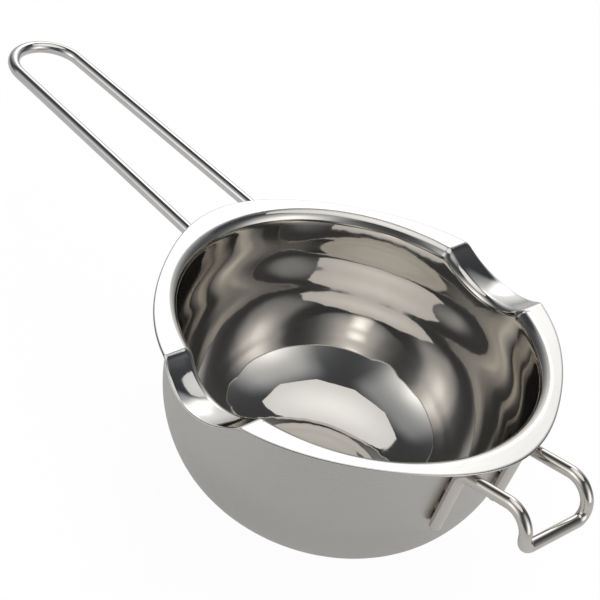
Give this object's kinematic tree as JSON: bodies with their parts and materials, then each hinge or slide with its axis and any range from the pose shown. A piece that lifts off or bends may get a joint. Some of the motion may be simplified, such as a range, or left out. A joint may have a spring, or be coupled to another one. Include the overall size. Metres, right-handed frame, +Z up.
{
  "type": "double boiler insert",
  "caption": "Stainless melting bowl with a lobed flange, opposed pressed pouring spouts, a long hairpin wire handle and a wire hook that rests on the pot below.",
  "frame": {"origin": "centre of the flat base, on the surface it stands on", "axes": "+Z up, -X along the long handle, +X towards the hook, spouts at +Y and -Y"},
  "size_m": [0.292, 0.153, 0.0733],
  "materials": {
    "bowl_steel": "mirror polish inside, fine satin outside",
    "wire_steel": "polished wire",
    "weld_steel": "as welded, slightly browned"
  },
  "bodies": {
    "root": {"bowl": "bowl_steel", "long_handle": "wire_steel", "hook_handle": "wire_steel", "long_handle_welds": "weld_steel", "hook_handle_welds": "weld_steel"}
  },
  "joints": []
}
